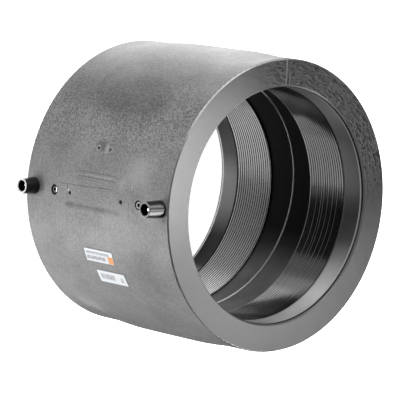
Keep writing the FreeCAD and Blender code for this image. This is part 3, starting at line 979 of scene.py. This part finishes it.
@dataclass(frozen=True)
class Label:
    """Paper label under clear film, with its print as plain grey fields and one field of colour.

    The paper and each field are bars on the unrolled barrel. The film that stands over the
    paper's edge shows the plastic under it.
    """

    kind: str
    sheet: Mark
    fields: tuple[Mark, ...]
    accent: Mark | None = None
    uneven_scale: tuple[float, float] = (0.35, 0.85)  # for a millimetre around, and of height
    film_colour: Colour = (0.075, 0.075, 0.076, 1.0)
    paper_colour: Colour = (0.44, 0.46, 0.48, 1.0)
    field_colour: Colour = (0.10, 0.10, 0.11, 1.0)
    accent_colour: Colour = (0.42, 0.15, 0.012, 1.0)

    def dress(self, finishes: Finishes) -> None:
        """Builds the material and gives it to the label.

        Args:
            finishes: gives the shared groups.
        """
        material, g, shader, where = finishes.start(f"{self.kind}_paper", Roughness=0.45)
        place = finishes.group(g, finishes.place, where)
        around, height = place["Around"], place["Height"]
        spots = g.vector(g.math("MULTIPLY", around, self.uneven_scale[0]),
                         g.math("MULTIPLY", height, self.uneven_scale[1]), 0.0)
        uneven = g.ramp(g.noise(spots, 1.0, 2.0), 0.36, 0.6)
        share = g.math("ADD", g.math("MULTIPLY", uneven, 0.5), 0.5)
        colour = g.mix(self.sheet.mask(g, around, height), self.film_colour, self.paper_colour)
        for field in self.fields:
            strength = g.math("MULTIPLY", share, -field.tone)
            mask = g.math("MULTIPLY", field.mask(g, around, height), strength)
            colour = g.mix(mask, colour, self.field_colour)
        if self.accent:
            colour = g.mix(self.accent.mask(g, around, height), colour, self.accent_colour)
        g.feed(shader.inputs["Base Color"], colour)
        paint(f"{self.kind}_label", material)


PRODUCT_LABEL = Label(
    "product",
    sheet=Mark(52.3, -0.9, half_around=5.7, half_height=18.0, soft=0.6),
    fields=(Mark(52.6, -2.0, half_around=4.6, half_height=16.2, tone=-0.22, soft=0.8),
            Mark(49.6, -2.5, half_around=1.3, half_height=15.0, tone=-0.7, soft=0.8),
            Mark(54.2, -5.5, half_around=1.7, half_height=12.2, tone=-0.9, soft=0.8)),
    accent=Mark(54.3, 13.6, half_around=3.4, half_height=3.3, soft=0.9))
TRACE_LABEL = Label(
    "trace",
    sheet=Mark(72.4, 7.1, half_around=5.9, half_height=17.7, soft=0.6),
    fields=(Mark(72.0, 1.5, half_around=2.8, half_height=9.0, tone=-0.75, soft=0.8),
            Mark(73.0, 19.5, half_around=2.2, half_height=1.8, tone=-0.7, soft=0.8)))


@dataclass(frozen=True)
class SoftBox:
    """A flat soft light that points at a spot on the coupler's axis.

    Its place is given from that spot by the turn about the axis in degrees, from the terminals
    towards the labels, by its rise over the level in degrees and by its distance. Lengths are in
    metres, the power is in watts, and spot is the spot's height.
    """

    name: str
    turn: float
    rise: float
    distance: float
    width: float
    height: float
    power: float
    spot: float = 0.0

    def put(self) -> bpy.types.Object:
        """Adds the light to the scene.

        Returns:
            The light's object.
        """
        data = bpy.data.lights.new(self.name, "AREA")
        data.shape, data.energy = "RECTANGLE", self.power
        data.size, data.size_y = self.width, self.height
        light = bpy.data.objects.new(self.name, data)
        bpy.context.scene.collection.objects.link(light)
        turn, rise = math.radians(self.turn), math.radians(self.rise)
        level = math.cos(rise)
        way = Vector((level * math.sin(turn), -level * math.cos(turn), math.sin(rise)))
        light.location = Vector((0.0, 0.0, self.spot)) + self.distance * way
        light.rotation_euler = (-way).to_track_quat("-Z", "Y").to_euler()
        light.visible_camera = False
        return light


@dataclass(frozen=True)
class Studio:
    """White surroundings, soft lights and the camera of the photograph.

    The camera's place is in millimetres, with the directions of its right and upper side.
    """

    camera_mm: tuple[float, float, float] = (-276.91, -1708.48, 1874.62)
    right: tuple[float, float, float] = (-0.05997, 0.74353, 0.66601)
    up: tuple[float, float, float] = (-0.99200, 0.02985, -0.12265)
    lens_mm: float = 265.05
    sensor_mm: float = 36.0
    floor_half: float = 6.0
    floor_gap: float = 0.0005
    boxes: Sequence[SoftBox] = (
        SoftBox("room, upper right", 240.0, 45.0, 1.500, 0.800, 0.800, 15.42, -0.09),
        SoftBox("room, label side", 90.0, -15.0, 1.500, 0.800, 0.800, 10.70, -0.09),
        SoftBox("room, upper left", 315.0, 15.0, 1.500, 0.800, 0.800, 9.66, -0.09),
        SoftBox("room, terminal side", 345.0, 15.0, 1.500, 0.800, 0.800, 7.53, -0.09),
        SoftBox("room, lower left", 30.0, -15.0, 1.500, 0.800, 0.800, 7.00, -0.09),
        SoftBox("room, top", 270.0, 45.0, 1.500, 0.800, 0.800, 6.83, -0.09),
        SoftBox("room, upper left 2", 330.0, -15.0, 1.500, 0.800, 0.800, 6.82, -0.09),
        SoftBox("strip, upper right", 240.0, -28.0, 1.300, 0.500, 0.300, 6.36, -0.09),
        SoftBox("room, top 2", 285.0, 15.0, 1.500, 0.800, 0.800, 4.73, -0.09),
        SoftBox("strip, upper left", 330.0, -28.0, 1.300, 0.500, 0.300, 3.17, -0.09),
        SoftBox("strip, terminal side", 0.0, -28.0, 1.300, 0.500, 0.300, 2.62, -0.09),
        SoftBox("card, upper right", 214.0, -46.0, 1.050, 0.474, 0.500, 2.48, -0.09),
        SoftBox("table", 59.8, -46.0, 0.900, 0.951, 0.500, 2.46, -0.09),
        SoftBox("fill, lower right", 120.0, 28.0, 0.900, 0.200, 0.200, 4.00, 0.09),
        SoftBox("fill, lower right 2", 120.0, 12.0, 0.900, 0.200, 0.200, 2.00, 0.09),
        SoftBox("fill, lower right 3", 135.0, 42.0, 0.900, 0.200, 0.200, 5.00, 0.09),
        SoftBox("slip under the rear mouth", 173.2, -81.5, 0.339, 0.060, 0.100, 0.030, 0.22),
        SoftBox("card, top", 267.0, -46.0, 0.950, 0.924, 0.500, 1.33, -0.09),
        SoftBox("card, upper right 2", 247.0, -46.0, 1.050, 0.391, 0.500, 1.06, -0.09),
        SoftBox("tile, lower left", 23.1, -37.2, 0.512, 0.250, 0.250, 1.02, 0.09),
        SoftBox("spot, back", 173.2, 67.5, 0.552, 0.150, 0.150, 0.95, 0.09),
        SoftBox("spot, back 2", 176.0, 54.7, 0.625, 0.150, 0.150, 0.58, 0.09),
        SoftBox("spot, back 3", 161.1, 43.4, 0.742, 0.150, 0.150, 0.28, 0.09),
        SoftBox("spot, lower right", 154.1, 51.9, 0.648, 0.150, 0.150, 0.28, 0.09),
        SoftBox("tile, lower left 2", 52.0, -56.8, 0.371, 0.250, 0.250, 0.13, 0.09),
    )

    def build(self, finishes: Finishes) -> None:
        """Builds the surroundings, the floor and the camera.

        Args:
            finishes: gives the way to start the floor's material.
        """
        self.surroundings()
        self.floor(finishes)
        self.camera()
        log.info("studio: %d soft boxes", len(self.boxes))

    def camera(self) -> None:
        """Sets the camera where the photograph was taken from, rolled as it was."""
        data = bpy.data.cameras.new("camera")
        data.lens, data.sensor_width = self.lens_mm, self.sensor_mm
        data.clip_start, data.clip_end = 0.1, 50.0
        camera = bpy.data.objects.new("camera", data)
        bpy.context.scene.collection.objects.link(camera)
        right, up = Vector(self.right), Vector(self.up)
        turn = Matrix((right, up, right.cross(up))).transposed().to_4x4()
        camera.matrix_world = Matrix.Translation(Vector(self.camera_mm) * MM) @ turn
        bpy.context.scene.camera = camera

    def surroundings(self) -> None:
        """Makes the surroundings white to the eye, and adds the soft boxes, the only lights."""
        scene = bpy.context.scene
        scene.view_settings.view_transform = "Standard"
        world = bpy.data.worlds.new("white room")
        scene.world = world
        world.use_nodes = True
        world.node_tree.nodes["Background"].inputs["Color"].default_value = (1, 1, 1, 1)
        world.cycles_visibility.diffuse = False
        world.cycles_visibility.glossy = False
        for box in self.boxes:
            box.put()

    def floor(self, finishes: Finishes) -> None:
        """Lays a wide white floor just under the coupler, which lights nothing.

        Args:
            finishes: gives the way to start its material.
        """
        half, z = self.floor_half, -SIZES.half_length * MM - self.floor_gap
        corners = [(-half, -half, z), (half, -half, z), (half, half, z), (-half, half, z)]
        mesh = bpy.data.meshes.new("floor")
        mesh.from_pydata(corners, [], [(0, 1, 2, 3)])
        floor = bpy.data.objects.new("floor", mesh)
        bpy.context.scene.collection.objects.link(floor)
        white = finishes.start("floor_white", Base_Color=grey(0.8), Emission_Color=grey(1.0),
                               Emission_Strength=1.0)[0]
        mesh.materials.append(white)
        floor.visible_glossy = False
        floor.visible_diffuse = False
        floor.visible_shadow = False


PIECES: tuple[Body | Winding | Terminal | Indicator | Label, ...] = (
    Body(),
    Winding(),
    # The lips' tones are painted highlights, paler on the rear terminal
    Terminal("front", SIZES.terminal_height, mouth=-141.6, lip_highlight_tone=0.11),
    Terminal("rear", -SIZES.terminal_height, mouth=-138.8, lip_highlight_tone=0.4),
    # The front head is painted pale as a highlight, the rear one dark as shade
    Indicator("front", SIZES.front_indicator_height, head=grey(0.22)),
    Indicator("rear", SIZES.rear_indicator_height, head=grey(0.012), glints=True),
    PRODUCT_LABEL,
    TRACE_LABEL,
)


def main() -> None:
    """Builds the looks of the coupler and the studio about it."""
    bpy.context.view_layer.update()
    finishes = Finishes()
    for piece in PIECES:
        piece.dress(finishes)
    Studio().build(finishes)


if __name__ == "__main__":
    main()
